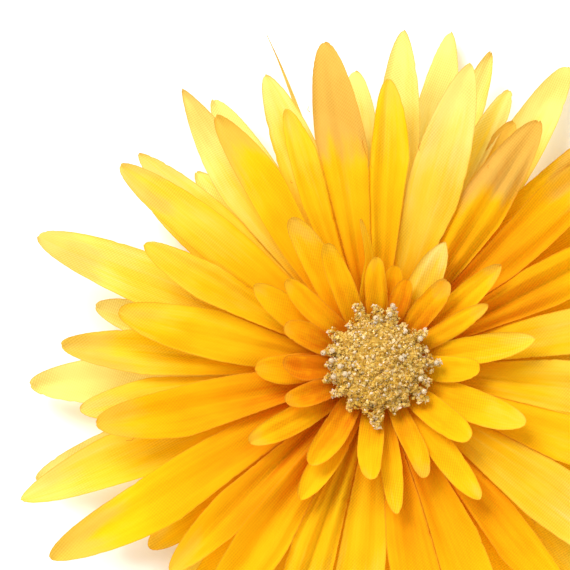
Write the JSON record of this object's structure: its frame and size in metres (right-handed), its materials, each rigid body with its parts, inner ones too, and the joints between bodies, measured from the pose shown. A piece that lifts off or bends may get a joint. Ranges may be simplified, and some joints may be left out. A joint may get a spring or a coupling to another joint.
{
  "type": "flower hair clip",
  "caption": "Layered fabric gerbera with a beaded glitter centre, glued to felt on a sprung single-prong alligator hair clip.",
  "frame": {"origin": "bottom centre of the whole clip: the flower's axis, on the surface that the clip's lever and the lowest petals stand on", "axes": "+Z is the way the flower faces, along its axis; +X runs along the alligator clip from its lever to its toothed tip; Y is the hinge pin's axis"},
  "size_m": [0.1278, 0.131, 0.025],
  "materials": {
    "petal_cloth": "plain-woven golden yellow polyester, orange at the root and pale lemon at the tips",
    "inner_petal_cloth": "the same cloth in its deeper orange yellow",
    "gold_glitter": "moulded stamens coated in coarse khaki-gold glitter",
    "clear_glass": "clear glass microbeads",
    "peg_plastic": "moulded yellow plastic",
    "hot_glue": "set hot-melt glue",
    "yellow_felt": "pressed craft felt",
    "nickel_steel": "nickel-plated stamped sheet steel",
    "spring_steel": "drawn spring wire"
  },
  "bodies": {
    "flower": {"petal_disc_outer_back": "petal_cloth", "petal_disc_outer_middle": "petal_cloth", "petal_disc_outer_front": "petal_cloth", "petal_disc_inner_long": "inner_petal_cloth", "petal_disc_inner_short": "inner_petal_cloth", "glitter_crown": "gold_glitter", "glass_bead_01": "clear_glass", "glass_bead_02": "clear_glass", "glass_bead_03": "clear_glass", "glass_bead_04": "clear_glass", "glass_bead_05": "clear_glass", "glass_bead_06": "clear_glass", "glass_bead_07": "clear_glass", "glass_bead_08": "clear_glass", "glass_bead_09": "clear_glass", "glass_bead_10": "clear_glass", "glass_bead_11": "clear_glass", "glass_bead_12": "clear_glass", "glass_bead_13": "clear_glass", "glass_bead_14": "clear_glass", "centre_peg": "peg_plastic", "peg_collar": "peg_plastic", "back_glue_disc": "hot_glue", "arm_glue_pad": "hot_glue", "felt_backing": "yellow_felt", "felt_strap": "yellow_felt", "clip_upper_arm": "nickel_steel", "hinge_pin": "nickel_steel", "torsion_spring": "spring_steel"},
    "jaw": {"clip_lower_jaw": "nickel_steel"}
  },
  "joints": [
    {"name": "jaw_hinge", "type": "hinge", "parent": "flower", "child": "jaw", "pos_m": [-0.0055, 0, 0.0052], "axis": [0, 1, 0], "range_deg": [0, 23], "stiffness_Nm_per_rad": 0.08, "springref_deg": -51.57, "deforming": ["torsion_spring"]}
  ]
}
